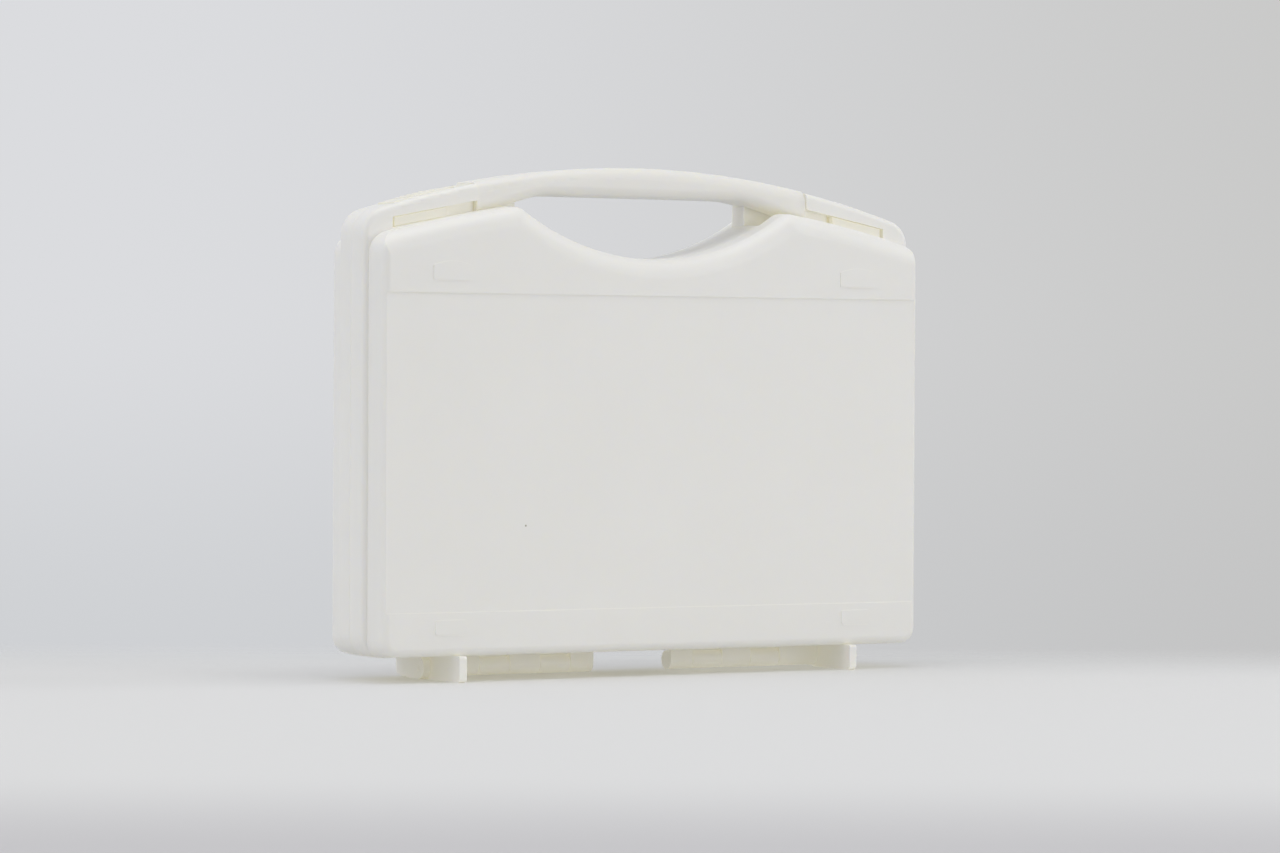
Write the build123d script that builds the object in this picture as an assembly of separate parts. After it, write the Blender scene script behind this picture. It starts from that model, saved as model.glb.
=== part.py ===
from build123d import *
from math import cos, radians, sin, sqrt, tan
import os

# Plastic carrying case, closed and standing on its hinge feet. Millimetres, +Z up.
# X runs across the case and Y from the lid (front) to the base (back). Pieces are drawn with the
# parting plane at Y = 0 and moved back by frame_shift when they are saved.

# shells
half_width = 150.0          # tray of a half shell, at its root
face_depth = 27.85          # parting plane to outer face
neck_depth = 13.5           # parting plane to the ledge round the tray
ledge = 2.55                # neck wider than the tray
bottom_z = 11.5             # underside of both shells
wall = 2.4
root_overlap = 1.0          # tray starts this far inside the neck
draft = 3.5                 # degrees on the tray sides
top_radius = 548.0          # long arc along the tray top
top_z = 231.0               # that arc on the centre line
bowl_radius = 126.0         # hand cut-out
bowl_z = top_z - 29.2
blend = 10.0                # hand cut-out into tray top
corner_top = 11.0
corner_bottom = 8.5
edge_side = 4.0             # rounding of the outer face edge at sides and bottom
edge_top = 10.0             # and along the top and the hand cut-out
arch_radius = 485.0         # upper edge of the neck
arch_z = top_z + 13.9
neck_corner = 13.0
neck_edge = 3.0
parting_chamfer = 0.35
rim_low = 22.0              # the neck's rim is rounded and chamfered above this
inner_edge = 2.4            # rounding inside the tray
floor_corner = 0.785        # half way round a bottom corner, radians
top_corner = 0.7            # and round a top corner
gap = 0.3                   # between pieces that move past each other

# outer face
panel_low = 33.0
panel_high = 183.6
panel_depth = 0.5
pad_x = half_width - 37.0
pad_high_z = 194.0
pad_low_z = 26.0
pad_rise = 0.4
pad_high_w = 20.0
pad_high_h = 9.0
pad_crown = 2.0             # the upper pads have an arched top
pad_low_w = 17.0
pad_low_h = 7.0
pad_corner = 1.5
pad_root = 0.6              # a pad starts this far inside the face

# rim tongue and groove
tongue_x = half_width - 0.1
tongue_w = 1.6
tongue_h = 1.5
tongue_low = 30.0
tongue_high = 196.0

# handle
root_in = 64.5
root_out = 92.0
root_z = bowl_z + 17.1
grip_under = arch_z - 13.3
handle_depth = 25.0
handle_proud = 1.1
post_front = 1.0            # the posts stand behind the parting plane only
handle_round = 6.0
grip_round = 4.5
grip_run = 16.5             # the underside bends down to the root over this length
grip_bend = 16.0            # degrees it has turned by then
tang_x = root_out - 10.0
tang_w = 9.0
tang_d = 6.6
tang_y = 5.5
tang_h = 12.0
tang_fit = 0.05
socket_wall = 2.2

# slide latches
channel_in = root_out + gap
arch_in = root_out + gap
channel_out = half_width - 12.5
channel_floor = top_z - 8.0       # at the inner end
channel_h = 5.0
channel_slope = 0.195
latch_travel = 10.0
latch_play = 0.3
keeper_out = channel_in + 14.3
latch_in = keeper_out + 1.4
latch_out = channel_out - 1.5
keeper_back = 6.0
keeper_front = 9.0
latch_back = 8.5
hook_front = 12.4
hook_root = latch_in + 10.5
web_back = 11.4
stem_in = latch_in + 4.0
stem_out = latch_out - 4.0
stem_depth = 5.6
recess_floor = arch_z - 11.9
recess_in = channel_in + 1.2
recess_out = channel_out - 2.3
recess_half = 9.4
thumb_in = latch_in - 3.5
thumb_out = latch_out - 1.8
thumb_half = 8.9
thumb_t = 5.0
thumb_proud = 0.5
thumb_round = 1.0
rib_rise = 0.3
rib_count = 5
rib_pitch = 3.2
rib_half = 0.6
rib_inset = 1.6

# hinge and feet
axis_z = 5.6
axis_y = 2.0
barrel_r = 4.6
pin_r = 1.5
running_fit = 0.06
foot_in = half_width - 43.1
foot_t = 3.8
lid_foot_reach = 32.4
base_foot_reach = 25.6
base_foot_flat = 11.0
base_foot_rise = 1.4
foot_heel = 5.3
foot_toe = 2.5
foot_shoulder = 1.4
row_in = 21.8               # knuckle row's inner end, from the middle
knuckle_pitch = (foot_in - row_in) / 5.11
knuckle_first = foot_in - 4.34 * knuckle_pitch
pin_in = row_in + 2.0
pin_chamfer = 0.2

# the parting plane stands this far behind the middle of the footprint box
frame_shift = (lid_foot_reach - face_depth - pad_rise) / 2


def arcTop(radius, z):
    return z - radius


def pointOn(cx, cz, px, pz, radius):
    """Point at the given radius from (cx, cz) toward (px, pz)."""
    d = sqrt((px - cx) ** 2 + (pz - cz) ** 2)
    return (cx + (px - cx) * radius / d, cz + (pz - cz) * radius / d)


def topChain(t):
    """Right half of the tray top moved inward by t: bowl end, middle of the blend, top start."""
    tc = arcTop(top_radius, top_z)
    bc = bowl_z + bowl_radius
    reach = top_radius - blend
    span = bowl_radius + blend
    bz = (reach ** 2 - span ** 2 - tc ** 2 + bc ** 2) / (2 * (bc - tc))
    bx = sqrt(span ** 2 - (bc - bz) ** 2)
    bowl_end = pointOn(0, bc, bx, bz, bowl_radius + t)
    top_start = pointOn(0, tc, bx, bz, top_radius - t)
    chord_x = (bowl_end[0] + top_start[0]) / 2
    chord_z = (bowl_end[1] + top_start[1]) / 2
    blend_mid = pointOn(bx, bz, chord_x, chord_z, blend - t)
    return bowl_end, blend_mid, top_start


def onTop(x, t, radius=top_radius, z=top_z):
    c = arcTop(radius, z)
    return (x, c + sqrt((radius - t) ** 2 - x ** 2))


def arcs(s, *points):
    """Arc through three points, on the right for s = 1 and mirrored to the left for s = -1."""
    return ThreePointArc(*[(s * x, z) for x, z in points])


def lines(s, start, end):
    return Line((s * start[0], start[1]), (s * end[0], end[1]))


def trayFace(t):
    """Outline of the tray moved inward by t."""
    w = half_width - t
    r = corner_top - t
    tc = arcTop(top_radius, top_z)
    cx = half_width - corner_top
    cz = tc + sqrt((top_radius - corner_top) ** 2 - cx ** 2)
    bowl_end, blend_mid, top_start = topChain(t)
    corner_start = pointOn(0, tc, cx, cz, top_radius - t)
    corner_mid = (cx + r * sin(top_corner), cz + r * cos(top_corner))
    corner_end = (w, cz)
    top_mid = onTop((top_start[0] + corner_start[0]) / 2, t)
    br = corner_bottom - t
    bx = half_width - corner_bottom
    bz = bottom_z + corner_bottom
    low_start = (w, bz)
    low_mid = (bx + br * sin(floor_corner), bz - br * cos(floor_corner))
    low_end = (bx, bottom_z + t)
    edges = []
    for s in (1, -1):
        edges.append(arcs(s, bowl_end, blend_mid, top_start))
        edges.append(arcs(s, top_start, top_mid, corner_start))
        edges.append(arcs(s, corner_start, corner_mid, corner_end))
        edges.append(lines(s, corner_end, low_start))
        edges.append(arcs(s, low_start, low_mid, low_end))
    edges.append(ThreePointArc((-bowl_end[0], bowl_end[1]), (0, bowl_z - t), bowl_end))
    edges.append(Line((-low_end[0], low_end[1]), low_end))
    return make_face(Wire(edges))


def topFace(t):
    """Region under the tray top, far wider than the tray."""
    bowl_end, blend_mid, top_start = topChain(t)
    far = onTop(half_width + 40, t)
    top_mid = onTop(half_width - 20, t)
    edges = []
    for s in (1, -1):
        edges.append(arcs(s, bowl_end, blend_mid, top_start))
        edges.append(arcs(s, top_start, top_mid, far))
        edges.append(lines(s, far, (far[0], -40)))
    edges.append(ThreePointArc((-bowl_end[0], bowl_end[1]), (0, bowl_z - t), bowl_end))
    edges.append(Line((-far[0], -40), (far[0], -40)))
    return make_face(Wire(edges))


def frontward(face, depth, start=0.0, taper=0.0):
    """Extrude an XZ outline toward the front from Y = -start to Y = -depth."""
    plane = Plane.XZ.offset(start)
    return extrude(plane * face, amount=depth - start, taper=taper)


def atFront(solid, y):
    return solid.edges().filter_by_position(Axis.Y, -y - 0.01, -y + 0.01)


def upperEdges(edges, z):
    return [e for e in edges if e.center().Z > z]


def topRounded(solid, depth, radius):
    """Round the front edge that runs along the tray top and the hand cut-out."""
    chain = [e for e in upperEdges(atFront(solid, depth), bowl_z - 40) if e.geom_type == GeomType.CIRCLE]
    return fillet(chain, radius)


def rounded(t, depth, start, side_r, top_r, taper):
    body = frontward(trayFace(t), depth, start, taper)
    body = fillet(atFront(body, depth), side_r)
    crown = frontward(topFace(t), depth, start)
    return body & topRounded(crown, depth, top_r)


def neckFace():
    w = half_width + ledge
    c = arcTop(arch_radius, arch_z)
    cx = w - neck_corner
    cz = c + sqrt((arch_radius - neck_corner) ** 2 - cx ** 2)
    arch_end = pointOn(0, c, cx, cz, arch_radius)
    arch_start = onTop(arch_in, 0, arch_radius, arch_z)
    arch_mid = onTop((arch_start[0] + arch_end[0]) / 2, 0, arch_radius, arch_z)
    corner_mid = (cx + neck_corner * sin(top_corner), cz + neck_corner * cos(top_corner))
    bc = bowl_z + bowl_radius
    notch_x = root_in - gap
    notch = (notch_x, bc - sqrt(bowl_radius ** 2 - notch_x ** 2))
    r = corner_bottom + ledge
    low_mid = (w - r + r * sin(floor_corner), bottom_z + r - r * cos(floor_corner))
    edges = []
    for s in (1, -1):
        edges.append(lines(s, notch, (notch_x, root_z)))
        edges.append(lines(s, (notch_x, root_z), (arch_in, root_z)))
        edges.append(lines(s, (arch_in, root_z), arch_start))
        edges.append(arcs(s, arch_start, arch_mid, arch_end))
        edges.append(arcs(s, arch_end, corner_mid, (w, cz)))
        edges.append(lines(s, (w, cz), (w, bottom_z + r)))
        edges.append(arcs(s, (w, bottom_z + r), low_mid, (w - r, bottom_z)))
    edges.append(ThreePointArc((-notch[0], notch[1]), (0, bowl_z), notch))
    edges.append(Line((-(w - r), bottom_z), (w - r, bottom_z)))
    return make_face(Wire(edges))


def neckSolid():
    body = frontward(neckFace(), neck_depth)
    outer = [e for e in upperEdges(atFront(body, neck_depth), rim_low) if abs(e.center().X) > root_out + 4]
    body = fillet(outer, neck_edge)
    parting = [e for e in upperEdges(atFront(body, 0), rim_low) if abs(e.center().X) > root_out + 4]
    return chamfer(parting, parting_chamfer)


def block(x0, x1, y0, y1, z0, z1):
    return Pos((x0 + x1) / 2, (y0 + y1) / 2, (z0 + z1) / 2) * Box(abs(x1 - x0), abs(y1 - y0), abs(z1 - z0))


def slanted(x0, x1, y0, y1, z_in, height, side):
    """Prism whose top and bottom follow the latch slope; z_in is its underside at the channel's inner end."""
    a = z_in - channel_slope * (x0 - channel_in)
    b = z_in - channel_slope * (x1 - channel_in)
    corners = [(x0, a), (x1, b), (x1, b + height), (x0, a + height)]
    face = make_face(Polyline(*[(side * x, z) for x, z in corners], close=True))
    lo, hi = min(y0, y1), max(y0, y1)
    return extrude(Plane.XZ.offset(-hi) * face, amount=hi - lo)


def barrel(x0, x1, radius, side, y=axis_y):
    mid = side * (x0 + x1) / 2
    return Pos(mid, y, axis_z) * Rot(0, 90, 0) * Cylinder(radius, x1 - x0)


def knuckle(x0, x1, side, y):
    """Hinge barrel with the web that carries it, hung from a front half; y is the hinge line."""
    web = block(side * x0, side * x1, y - barrel_r, -gap, axis_z, bottom_z + 1)
    return barrel(x0, x1, barrel_r, side, y) + web


def footPlate(x0, side, y, reach, flat, rise):
    """Upright plate from the hinge line y to the front, standing on the floor up to flat."""
    top = bottom_z + 1
    outline = Polyline(
        (y, 0),
        (-flat, 0),
        (-reach, rise),
        (-reach, top),
        (-gap, top),
        (y, axis_z),
        close=True,
    )
    plate = Pos(side * x0, 0, 0) * extrude(Plane.YZ * make_face(outline), amount=side * foot_t)
    front = [e for e in plate.edges().filter_by(Axis.X) if e.center().Y < 0.1 - reach]
    plate = fillet([e for e in front if e.center().Z < top - 1], foot_toe)
    front = [e for e in plate.edges().filter_by(Axis.X) if e.center().Y < 0.1 - reach]
    plate = fillet([e for e in front if e.center().Z > top - 1], foot_shoulder)
    return plate + barrel(x0, x0 + foot_t, foot_heel, side, y)


def facePad(x, z, w, h, arched):
    if arched:
        shoulder = h / 2 - pad_crown
        edges = [ThreePointArc((-w / 2, shoulder), (0, h / 2), (w / 2, shoulder))]
        edges.append(Line((-w / 2, -h / 2), (w / 2, -h / 2)))
        for k in (1, -1):
            edges.append(lines(k, (w / 2, shoulder), (w / 2, -h / 2)))
        face = make_face(Wire(edges))
    else:
        face = RectangleRounded(w, h, pad_corner)
    return Pos(x, 0, z) * extrude(Plane.XZ.offset(face_depth - pad_root) * face, amount=pad_root + pad_rise)


def latchPocket(side):
    """Window, thumb recess and stem slot seen from the front half."""
    h = channel_h
    window = slanted(channel_in - 0.2, channel_out, 0.5, -neck_depth - 1, channel_floor, h, side)
    keeper_z = channel_floor - 0.5
    keeper = slanted(channel_in + 0.2, keeper_out, -keeper_back, -keeper_front, keeper_z, h + 1, side)
    recess = slanted(recess_in, recess_out, 0.5, -recess_half, recess_floor, 12, side)
    return window, keeper, recess


def knuckleEdges():
    """Inner edges of the five knuckles from the middle outward."""
    return [row_in] + [knuckle_first + k * knuckle_pitch for k in range(4)]


def halfShell():
    """Everything both half shells share, built on the front side."""
    outer = neckSolid() + rounded(0, face_depth, neck_depth - root_overlap, edge_side, edge_top, draft)
    cavity = frontward(trayFace(wall + 0.6), face_depth - wall, -0.5)
    cavity = fillet(atFront(cavity, face_depth - wall), inner_edge)
    crown = frontward(topFace(wall + 0.4), face_depth - wall, -0.5)
    cavity = cavity & topRounded(crown, face_depth - wall, edge_top - wall)
    shell = outer - cavity
    for s in (1, -1):
        saddle_top = channel_floor - 0.6
        saddle = block(s * (root_in - 3), s * (channel_in + 3), 0, -neck_depth - wall, root_z - 3, saddle_top)
        shell = shell + (saddle & outer)
        notch = block(s * (root_in - gap), s * arch_in, 1, -neck_depth, root_z, root_z + 40)
        shell = shell - notch
        window, keeper, recess = latchPocket(s)
        shell = shell - window - recess
    recess_face = Pos(0, (panel_low + panel_high) / 2) * Rectangle(2 * half_width + 2, panel_high - panel_low)
    shell = shell - frontward(recess_face, face_depth + 1, face_depth - panel_depth)
    for s in (1, -1):
        shell = shell + facePad(s * pad_x, pad_high_z, pad_high_w, pad_high_h, True)
        shell = shell + facePad(s * pad_x, pad_low_z, pad_low_w, pad_low_h, False)
    return shell


def toBack(solid):
    return mirror(solid, about=Plane.XZ)


def makeLid(common):
    lid = common
    e = knuckleEdges()
    notch_top = root_z + 1
    for s in (1, -1):
        keeper = latchPocket(s)[1]
        lid = lid + keeper
        for x0, x1 in ((e[0], e[1] - gap), (e[2], e[3] - gap), (e[4], foot_in + 0.5)):
            lid = lid + knuckle(x0, x1, s, axis_y)
        lid = lid + footPlate(foot_in, s, axis_y, lid_foot_reach, lid_foot_reach - 2, 0)
        lid = lid - barrel(pin_in - gap, foot_in + foot_t + 1, pin_r + running_fit, s)
        groove_in = tongue_x - tongue_w / 2 - gap
        groove_out = tongue_x + tongue_w / 2 + gap
        lid = lid - block(s * groove_in, s * groove_out, 1, -tongue_h - gap, tongue_low - 1, tongue_high + 1)
        lid = lid - block(s * (root_in - gap), s * channel_in, 1, -neck_depth, root_z - gap, notch_top)
    return lid


def makeBase(common):
    base = toBack(common)
    e = knuckleEdges()
    foot_x = foot_in + foot_t + gap
    tang_half = tang_w / 2
    tang_low = root_z - tang_h
    for s in (1, -1):
        web_front = latch_back + latch_play
        web_z = channel_floor - 0.5
        base = base + slanted(channel_in + 0.2, channel_out + 1, web_front, web_back, web_z, channel_h + 1, s)
        slot_in = stem_in - latch_travel - 0.4
        base = base - slanted(slot_in, stem_out + 0.4, -1, stem_depth + gap, channel_floor + 1, 12, s)
        for x0, x1 in ((e[1], e[2] - gap), (e[3], e[4] - gap)):
            base = base + toBack(knuckle(x0, x1, s, -axis_y))
        foot = footPlate(foot_x, s, -axis_y, base_foot_reach, base_foot_flat, base_foot_rise)
        base = base + toBack(foot)
        base = base - barrel(pin_in - gap, foot_x + foot_t + 1, pin_r, s)
        sock_in = tang_x - tang_half - socket_wall
        sock_out = tang_x + tang_half + socket_wall
        sock_back = tang_y + tang_d / 2 + socket_wall
        base = base + block(s * sock_in, s * sock_out, 0.4, sock_back, tang_low - 2.4, root_z - 1)
        fit_half = tang_half + tang_fit
        fit_d = tang_d / 2 + tang_fit
        fit_in = tang_x - fit_half
        fit_out = tang_x + fit_half
        base = base - block(s * fit_in, s * fit_out, tang_y - fit_d, tang_y + fit_d, tang_low - 0.2, root_z + 1)
        tongue_in = tongue_x - tongue_w / 2
        base = base + block(s * tongue_in, s * (tongue_in + tongue_w), 0.5, -tongue_h, tongue_low, tongue_high)
    return base


def makeHandle():
    c = arcTop(arch_radius, arch_z)
    r = arch_radius + handle_proud
    x1 = root_out
    top_end = (x1, c + sqrt(r ** 2 - x1 ** 2))
    under_in = root_in - grip_run
    bend_r = grip_run / sin(radians(grip_bend))
    under_z = grip_under - bend_r + bend_r * cos(radians(grip_bend))
    end_z = under_z - (root_out - root_in) * tan(radians(grip_bend))
    half_bend = radians(grip_bend / 2)
    bend_mid = (under_in + bend_r * sin(half_bend), grip_under - bend_r + bend_r * cos(half_bend))
    edges = []
    edges.append(ThreePointArc((-top_end[0], top_end[1]), (0, c + r), top_end))
    for s in (1, -1):
        edges.append(lines(s, top_end, (x1, end_z)))
        edges.append(lines(s, (x1, end_z), (root_in, under_z)))
        edges.append(arcs(s, (root_in, under_z), bend_mid, (under_in, grip_under)))
    edges.append(Line((-under_in, grip_under), (under_in, grip_under)))
    body = extrude(Plane.XZ.offset(-handle_depth / 2) * make_face(Wire(edges)), amount=handle_depth)
    top = [e for e in body.edges() if e.geom_type == GeomType.CIRCLE and e.length > x1]
    body = fillet(top, handle_round)
    sides = [e for e in body.edges() if abs(abs(e.center().Y) - handle_depth / 2) < 0.01]
    under = [e for e in sides if abs(e.center().X) < x1 - 1 and e.center().Z < grip_under + 0.1]
    body = fillet(under, grip_round)
    joined = grip_round + 0.1
    post_depth = handle_depth / 2 - post_front
    tang_in = tang_x - tang_w / 2
    tang_out = tang_x + tang_w / 2
    for s in (1, -1):
        post = Polyline(
            (s * root_in, root_z),
            (s * x1, root_z),
            (s * x1, end_z + joined),
            (s * root_in, under_z + joined),
            close=True,
        )
        body = body + extrude(Plane.XZ.offset(-handle_depth / 2) * make_face(post), amount=post_depth)
        tang_front = tang_y - tang_d / 2
        body = body + block(s * tang_in, s * tang_out, tang_front, tang_front + tang_d, root_z - tang_h, root_z + 1)
    return body


def archCylinder(rise):
    """Everything under the neck's arch raised by rise."""
    return Pos(0, 0, arch_z - arch_radius) * Rot(90, 0, 0) * Cylinder(arch_radius + rise, 60)


def makeLatch(side):
    z = channel_floor + latch_play
    h = channel_h - 2 * latch_play
    body = slanted(latch_in, latch_out, latch_back, -keeper_back + 0.5, z, h, side)
    body = body + slanted(hook_root, latch_out, -keeper_back + 0.6, -keeper_front - gap, z, h, side)
    body = body + slanted(latch_in, latch_out, -keeper_front - gap, -hook_front, z, h, side)
    rise = recess_floor - channel_floor + 1
    body = body + slanted(stem_in, stem_out, 0.4, stem_depth, z, rise, side)
    under = recess_floor + latch_play
    thumb = slanted(thumb_in, thumb_out, thumb_half, -thumb_half, under, thumb_t, side)
    thumb = thumb & archCylinder(thumb_proud)
    curved = [e for e in thumb.edges() if e.geom_type == GeomType.CIRCLE]
    long_edges = [e for e in curved if abs(abs(e.center().Y) - thumb_half) < 0.1]
    body = body + fillet(long_edges, thumb_round)
    rib_y = thumb_half - rib_inset
    for k in range(rib_count):
        x = (thumb_in + thumb_out) / 2 + (k - (rib_count - 1) / 2) * rib_pitch
        rib = slanted(x - rib_half, x + rib_half, rib_y, -rib_y, under + 0.5, thumb_t + 2, side)
        body = body + (rib & archCylinder(thumb_proud + rib_rise))
    return body


def makePin(side):
    x1 = foot_in + 2 * foot_t + gap
    pin = Pos(side * (pin_in + x1) / 2, axis_y, axis_z) * Rot(0, 90, 0) * Cylinder(pin_r, x1 - pin_in)
    ends = pin.edges().filter_by(GeomType.CIRCLE)
    return chamfer(ends, pin_chamfer)


def save(name, solid):
    placed = solid.moved(Location((0, frame_shift, 0)))
    export_step(placed, os.path.join("parts", name + ".step"))


os.makedirs("parts", exist_ok=True)
common = halfShell()
save("lid_shell", makeLid(common))
save("base_shell", makeBase(common))
save("handle", makeHandle())
save("latch_slider_left", makeLatch(-1))
save("latch_slider_right", makeLatch(1))
save("hinge_pin_left", makePin(-1))
save("hinge_pin_right", makePin(1))
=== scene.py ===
import math

import bmesh
import bpy
from mathutils import Matrix, Vector

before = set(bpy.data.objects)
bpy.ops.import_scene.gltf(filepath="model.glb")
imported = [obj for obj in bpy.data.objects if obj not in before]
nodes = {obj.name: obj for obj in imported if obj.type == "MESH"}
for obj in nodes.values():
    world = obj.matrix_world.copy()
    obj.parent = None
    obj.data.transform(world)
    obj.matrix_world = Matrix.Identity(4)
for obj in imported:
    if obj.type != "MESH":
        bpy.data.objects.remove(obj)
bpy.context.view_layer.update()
mm = 0.001


# helpers

def hexColour(code):   # sRGB hex to linear
    code = code.lstrip("#")
    channels = [int(code[i:i + 2], 16) / 255 for i in (0, 2, 4)]
    linear = [c / 12.92 if c <= 0.04045 else ((c + 0.055) / 1.055) ** 2.4 for c in channels]
    return (*linear, 1.0)


def addNode(tree, kind, settings=None, links=None):
    node = tree.nodes.new(kind)
    for key, value in (settings or {}).items():
        if isinstance(key, str) and hasattr(node, key):
            setattr(node, key, value)
        else:
            node.inputs[key].default_value = value
    for key, source in (links or {}).items():
        tree.links.new(source, node.inputs[key])
    return node


def newMaterial(name):
    material = bpy.data.materials.new(name)
    material.use_nodes = True
    material.node_tree.nodes.clear()
    return material, material.node_tree


def dress(nodeName, material):
    piece = nodes[nodeName]
    piece.data.materials.clear()
    piece.data.materials.append(material)


# moulded polypropylene: soft satin white with a little real scatter, so its shade is warm, and a painted
# warm glow in its recesses

shellFinish = {
    "colour": "#EAE9E6",
    "colourDeep": "#E7E6E2",
    "roughness": 0.40,
    "roughnessSpread": 0.08,
    "polishPatch": 25.0,       # mm across each patch of even polish
    "tintPatch": 60.0,         # mm across each cloud of tint
    "ior": 1.49,
    "scatter": 0.35,
    "scatterDepth": 1.6,       # mm
    "scatterTint": (1.0, 0.9, 0.6),   # blue goes in least deep
    "glow": "#DAD4B4",         # painted glow: warm light painted into the recesses, for light that comes through the walls
    "paintedGlowStrength": 0.17,
    "paintedGlowReach": 16.0,         # mm
    "paintedGlowOpen": (0.15, 0.85),  # full where a surface is shut in, none where it is open
    "grain": 0.9,              # mm, drawn coarser than the real 0.2 mm spark texture
    "grainHeight": 0.012,      # mm
    "shrink": 34.0,            # mm between soft hollows left by cooling
    "shrinkHeight": 0.05,      # mm
}


# painted glow: emission that brightens a surface where it is shut in and fades out where it is open
def paintedGlowWhereShut(tree, reach, openRange, strength):
    openness = addNode(tree, "ShaderNodeAmbientOcclusion", {"samples": 8, "Distance": reach})
    glow = addNode(tree, "ShaderNodeMapRange", {
        "From Min": openRange[0],
        "From Max": openRange[1],
        "To Min": strength,
        "To Max": 0.0,
    }, {"Value": openness.outputs["AO"]})
    return glow.outputs["Result"]


def mouldedPolypropylene(name, finish, specks=()):
    material, tree = newMaterial(name)
    coords = addNode(tree, "ShaderNodeTexCoord")
    place = coords.outputs["Object"]
    cloudScale = 1 / (finish["tintPatch"] * mm)
    cloud = addNode(tree, "ShaderNodeTexNoise", {"Scale": cloudScale, "Detail": 3.0}, {"Vector": place})
    tint = addNode(tree, "ShaderNodeMix", {"data_type": "RGBA"}, {"Factor": cloud.outputs["Fac"]})
    tint.inputs["A"].default_value = hexColour(finish["colour"])
    tint.inputs["B"].default_value = hexColour(finish["colourDeep"])
    colour = tint.outputs["Result"]
    for speck in specks:
        colour = addSpeck(tree, place, colour, speck)

    patchScale = 1 / (finish["polishPatch"] * mm)
    polish = addNode(tree, "ShaderNodeTexNoise", {"Scale": patchScale, "Detail": 4.0}, {"Vector": place})
    half = finish["roughnessSpread"] / 2
    rough = addNode(tree, "ShaderNodeMapRange", {
        "To Min": finish["roughness"] - half,
        "To Max": finish["roughness"] + half,
    }, {"Value": polish.outputs["Fac"]})

    grainScale = 1 / (finish["grain"] * mm)
    shrinkScale = 1 / (finish["shrink"] * mm)
    grain = addNode(tree, "ShaderNodeTexNoise", {"Scale": grainScale, "Detail": 2.0}, {"Vector": place})
    shrink = addNode(tree, "ShaderNodeTexNoise", {"Scale": shrinkScale, "Detail": 1.0}, {"Vector": place})
    hollow = addNode(tree, "ShaderNodeBump", {
        "Strength": 1.0,
        "Distance": finish["shrinkHeight"] * mm,
    }, {"Height": shrink.outputs["Fac"]})
    bump = addNode(tree, "ShaderNodeBump", {
        "Strength": 1.0,
        "Distance": finish["grainHeight"] * mm,
    }, {"Height": grain.outputs["Fac"], "Normal": hollow.outputs["Normal"]})

    shader = addNode(tree, "ShaderNodeBsdfPrincipled", {
        "IOR": finish["ior"],
        "Subsurface Weight": finish["scatter"],
        "Subsurface Radius": finish["scatterTint"],
        "Subsurface Scale": finish["scatterDepth"] * mm,
        "Emission Color": hexColour(finish["glow"]),
    }, {"Base Color": colour, "Roughness": rough.outputs["Result"], "Normal": bump.outputs["Normal"]})
    # painted glow: warm light painted into the recesses
    glow = paintedGlowWhereShut(tree, finish["paintedGlowReach"] * mm, finish["paintedGlowOpen"], finish["paintedGlowStrength"])
    tree.links.new(glow, shader.inputs["Emission Strength"])
    addNode(tree, "ShaderNodeOutputMaterial", {}, {"Surface": shader.outputs["BSDF"]})
    return material


def addSpeck(tree, place, colour, speck):
    spot = addNode(tree, "ShaderNodeVectorMath", {"operation": "DISTANCE"}, {0: place})
    spot.inputs[1].default_value = [v * mm for v in speck["centre"]]
    radius = speck["size"] / 2 * mm
    mask = addNode(tree, "ShaderNodeMapRange", {
        "From Min": radius * speck["core"],
        "From Max": radius,
        "To Min": speck["strength"],
        "To Max": 0.0,
    }, {"Value": spot.outputs["Value"]})
    share = mask.outputs["Result"]
    mix = addNode(tree, "ShaderNodeMix", {"data_type": "RGBA"}, {"Factor": share, "A": colour})
    mix.inputs["B"].default_value = hexColour(speck["colour"])
    return mix.outputs["Result"]


# one speck of dirt, on the lid's face, in mm
lidSpecks = [
    {"centre": (-73.0, -25.3, 73.5), "size": 1.1, "core": 0.7, "strength": 0.7, "colour": "#6B6238"},
]

# the handle is a thicker moulding, so light goes deeper
# the latches are creamier and duller, and get a little more painted glow in their recesses
handleFinish = dict(
    shellFinish,
    colour="#E6E5E2",
    colourDeep="#E3E2DE",
    roughness=0.36,
    scatter=0.7,
    scatterDepth=5.0,
)
latchFinish = dict(
    shellFinish,
    colour="#EAE8E0",
    colourDeep="#E6E4DA",
    roughness=0.46,
    paintedGlowStrength=0.24,
)

lidPlastic = mouldedPolypropylene("moulded_polypropylene_lid", shellFinish, lidSpecks)
basePlastic = mouldedPolypropylene("moulded_polypropylene_base", shellFinish)
handlePlastic = mouldedPolypropylene("moulded_polypropylene_handle", handleFinish)
latchPlastic = mouldedPolypropylene("moulded_polypropylene_latch", latchFinish)
pinPlastic = mouldedPolypropylene("moulded_polypropylene_pins", handleFinish)

plasticOf = {
    "lid_shell": lidPlastic,
    "base_shell": basePlastic,
    "handle": handlePlastic,
    "latch_slider_left": latchPlastic,
    "latch_slider_right": latchPlastic,
    "hinge_pin_left": pinPlastic,
    "hinge_pin_right": pinPlastic,
}
for nodeName, plastic in plasticOf.items():
    dress(nodeName, plastic)
print("materials on", len(nodes), "pieces")

# floor: matt white paper, with no gloss, so the case leaves only a soft shade on it, which a painted warm
# glow lightens near the case

floorPaper = {
    "radius": 40.0,                # m
    "segments": 96,
    "colour": "#DDDDDD",
    # painted shade: the front of the paper is darker
    "paintedFrontShade": "#C8C7C9",
    "away": (0.5, 0.866, 0.0),     # the way from the front of the paper to its back
    "frontEdge": (-0.84, -0.56),   # m, painted shade: the front darkens over this stretch
    "backEdge": (-0.03, 0.25),     # m, and the back runs out into the surround over this one
    "glow": "#DBD4B2",             # painted glow, standing in for light thrown down by the plastic
    "paintedGlowStrength": 0.13,
    "paintedGlowReach": 0.06,             # m
    "paintedGlowOpen": (0.2, 0.8),
    "roughness": 0.85,
}


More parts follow.
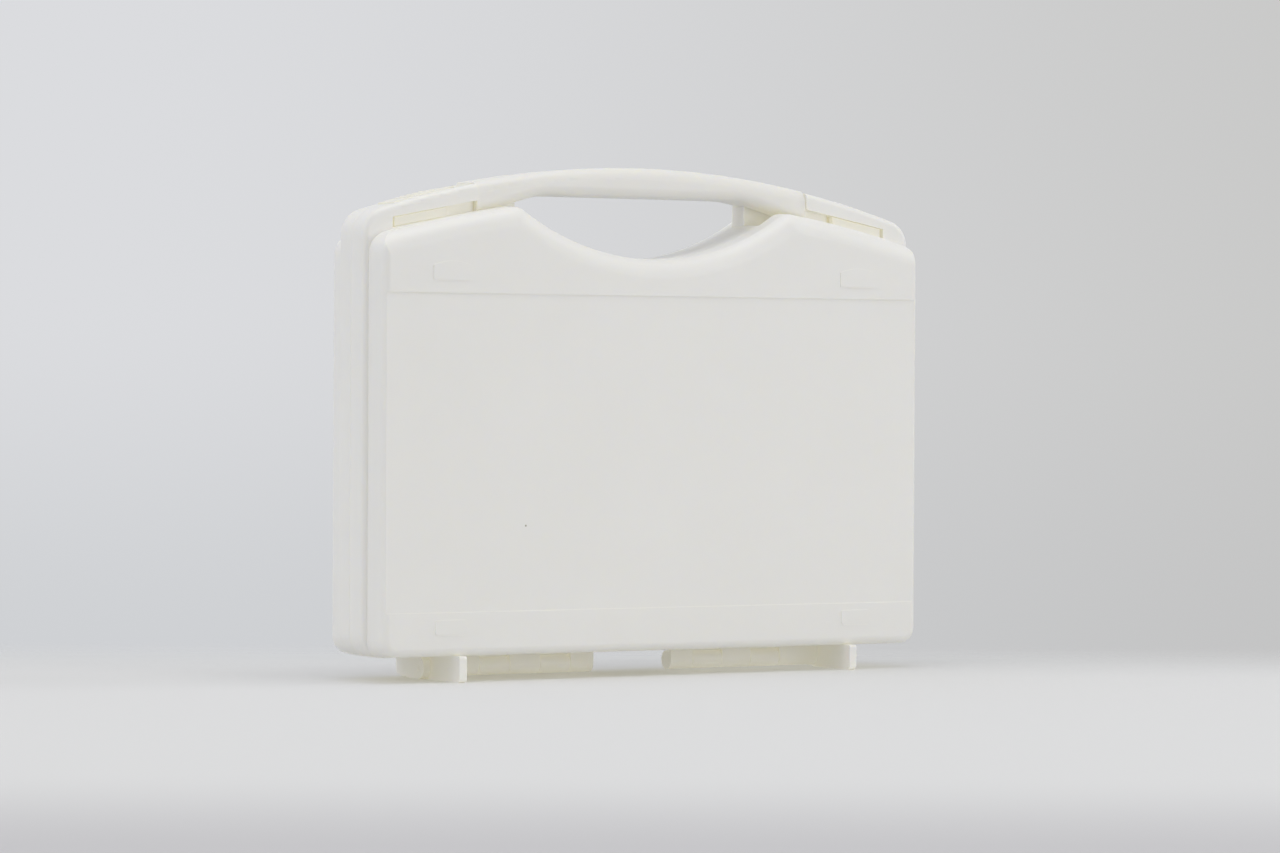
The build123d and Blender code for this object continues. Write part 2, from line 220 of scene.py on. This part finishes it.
def makeFloor(paper):
    mesh = bpy.data.meshes.new("floor")
    bm = bmesh.new()
    bmesh.ops.create_circle(bm, cap_ends=True, segments=paper["segments"], radius=paper["radius"])
    bm.to_mesh(mesh)
    bm.free()
    floor = bpy.data.objects.new("floor", mesh)
    bpy.context.scene.collection.objects.link(floor)
    mesh.materials.append(mattPaper(paper))


def mattPaper(paper):
    material, tree = newMaterial("matt_white_paper")
    coords = addNode(tree, "ShaderNodeTexCoord")
    along = addNode(tree, "ShaderNodeVectorMath", {
        "operation": "DOT_PRODUCT",
        1: paper["away"],
    }, {0: coords.outputs["Object"]})
    # painted shade: the paper darkens towards its front
    frontMin, frontMax = paper["frontEdge"]
    front = addNode(tree, "ShaderNodeMapRange", {
        "interpolation_type": "SMOOTHSTEP",
        "From Min": frontMin,
        "From Max": frontMax,
    }, {"Value": along.outputs["Value"]})
    colour = addNode(tree, "ShaderNodeMix", {"data_type": "RGBA"}, {"Factor": front.outputs["Result"]})
    colour.inputs["A"].default_value = hexColour(paper["paintedFrontShade"])
    colour.inputs["B"].default_value = hexColour(paper["colour"])
    # painted glow: warm light painted into the floor's shade near the case
    glow = paintedGlowWhereShut(tree, paper["paintedGlowReach"], paper["paintedGlowOpen"], paper["paintedGlowStrength"])
    shader = addNode(tree, "ShaderNodeBsdfPrincipled", {
        "Roughness": paper["roughness"],
        "Emission Color": hexColour(paper["glow"]),
    }, {"Base Color": colour.outputs["Result"], "Emission Strength": glow})
    backMin, backMax = paper["backEdge"]
    back = addNode(tree, "ShaderNodeMapRange", {
        "interpolation_type": "SMOOTHSTEP",
        "From Min": backMin,
        "From Max": backMax,
    }, {"Value": along.outputs["Value"]})
    clear = addNode(tree, "ShaderNodeBsdfTransparent")
    ended = addNode(tree, "ShaderNodeMixShader", {}, {
        0: back.outputs["Result"],
        1: shader.outputs["BSDF"],
        2: clear.outputs["BSDF"],
    })
    addNode(tree, "ShaderNodeOutputMaterial", {}, {"Surface": ended.outputs["Shader"]})
    return material


makeFloor(floorPaper)
print("floor laid")

# light: a pale surround, and soft boxes above, to both sides and low in front

surround = {
    "left": "#DBDCDF",
    "right": "#C8C8C7",
    "lowLeft": "#CFD1D4",
    "lowRight": "#C3C3C3",
    "across": (0.866, -0.5, 0.0),
    "turn": (-0.13, 0.20),     # from the left colour to the right one
    "lift": (-0.065, 0.02),    # from the low colours to the high ones
}
softBoxes = [   # places and sizes in m, power in W
    {"name": "key_box", "at": (-1.0, -0.5, 1.5), "aim": (0, 0, 0.1), "size": 0.6, "power": 1.7},
    {"name": "top_box", "at": (0.0, -0.2, 1.6), "aim": (0, 0, 0.1), "size": 0.8, "power": 4.5},
    {"name": "left_box", "at": (-2.2, 0.4, 1.0), "aim": (0, 0, 0.1), "size": 1.2, "power": 7.0},
    {"name": "right_box", "at": (2.2, -0.8, 1.0), "aim": (0, 0, 0.1), "size": 1.2, "power": 9.0},
    {"name": "low_box", "at": (0.85, -2.1, 0.55), "aim": (0.05, 0, 0.05), "size": 0.9, "power": 7.2},
]


def makeSurround(air):
    world = bpy.data.worlds.new("surround")
    world.use_nodes = True
    tree = world.node_tree
    tree.nodes.clear()
    coords = addNode(tree, "ShaderNodeTexCoord")
    way = coords.outputs["Generated"]
    across = addNode(tree, "ShaderNodeVectorMath", {
        "operation": "DOT_PRODUCT",
        1: air["across"],
    }, {0: way})
    turnMin, turnMax = air["turn"]
    side = addNode(tree, "ShaderNodeMapRange", {
        "interpolation_type": "SMOOTHSTEP",
        "From Min": turnMin,
        "From Max": turnMax,
    }, {"Value": across.outputs["Value"]})
    bands = []
    for leftKey, rightKey in (("lowLeft", "lowRight"), ("left", "right")):
        band = addNode(tree, "ShaderNodeMix", {"data_type": "RGBA"}, {"Factor": side.outputs["Result"]})
        band.inputs["A"].default_value = hexColour(air[leftKey])
        band.inputs["B"].default_value = hexColour(air[rightKey])
        bands.append(band.outputs["Result"])
    parts = addNode(tree, "ShaderNodeSeparateXYZ", {}, {"Vector": way})
    liftMin, liftMax = air["lift"]
    lift = addNode(tree, "ShaderNodeMapRange", {
        "interpolation_type": "SMOOTHSTEP",
        "From Min": liftMin,
        "From Max": liftMax,
    }, {"Value": parts.outputs["Z"]})
    low, high = bands
    whole = addNode(tree, "ShaderNodeMix", {"data_type": "RGBA"}, {
        "Factor": lift.outputs["Result"],
        "A": low,
        "B": high,
    })
    glow = addNode(tree, "ShaderNodeBackground", {"Strength": 1.0}, {"Color": whole.outputs["Result"]})
    addNode(tree, "ShaderNodeOutputWorld", {}, {"Surface": glow.outputs["Background"]})
    bpy.context.scene.world = world


makeSurround(surround)

for box in softBoxes:
    lamp = bpy.data.lights.new(box["name"], "AREA")
    lamp.shape = "SQUARE"
    lamp.size = box["size"]
    lamp.energy = box["power"]
    holder = bpy.data.objects.new(box["name"], lamp)
    holder.location = box["at"]
    aim = Vector(box["aim"]) - Vector(box["at"])
    holder.rotation_euler = aim.to_track_quat("-Z", "Y").to_euler()
    holder.visible_camera = False
    bpy.context.scene.collection.objects.link(holder)
print("lights placed")

# camera: long lens, nearly level, 30 degrees round to the left of the lid

view = {
    "lens": 125.793,           # mm
    "sensor": 36.0,            # mm
    "at": (-1.08836, -1.89193, 0.14322),   # m
    "yaw": 30.0,               # degrees
    "pitch": -0.60192,
    "roll": 0.30280,
    "clip": (0.05, 200),       # m
}


def makeCamera(view):
    lens = bpy.data.cameras.new("camera")
    lens.lens = view["lens"]
    lens.sensor_width = view["sensor"]
    lens.sensor_fit = "HORIZONTAL"
    lens.clip_start, lens.clip_end = view["clip"]
    yaw, pitch, roll = (math.radians(view[key]) for key in ("yaw", "pitch", "roll"))
    forward = Vector((math.sin(yaw) * math.cos(pitch), math.cos(yaw) * math.cos(pitch), math.sin(pitch)))
    right = Vector((math.cos(yaw), -math.sin(yaw), 0))
    up = right.cross(forward)
    rightTurned = right * math.cos(roll) + up * math.sin(roll)
    upTurned = up * math.cos(roll) - right * math.sin(roll)
    turn = Matrix((rightTurned, upTurned, -forward)).transposed()
    camera = bpy.data.objects.new("camera", lens)
    camera.matrix_world = Matrix.Translation(view["at"]) @ turn.to_4x4()
    bpy.context.scene.collection.objects.link(camera)
    return camera


bpy.context.scene.camera = makeCamera(view)
bpy.context.scene.view_settings.view_transform = "Standard"
print("camera set")

print("scene ready")
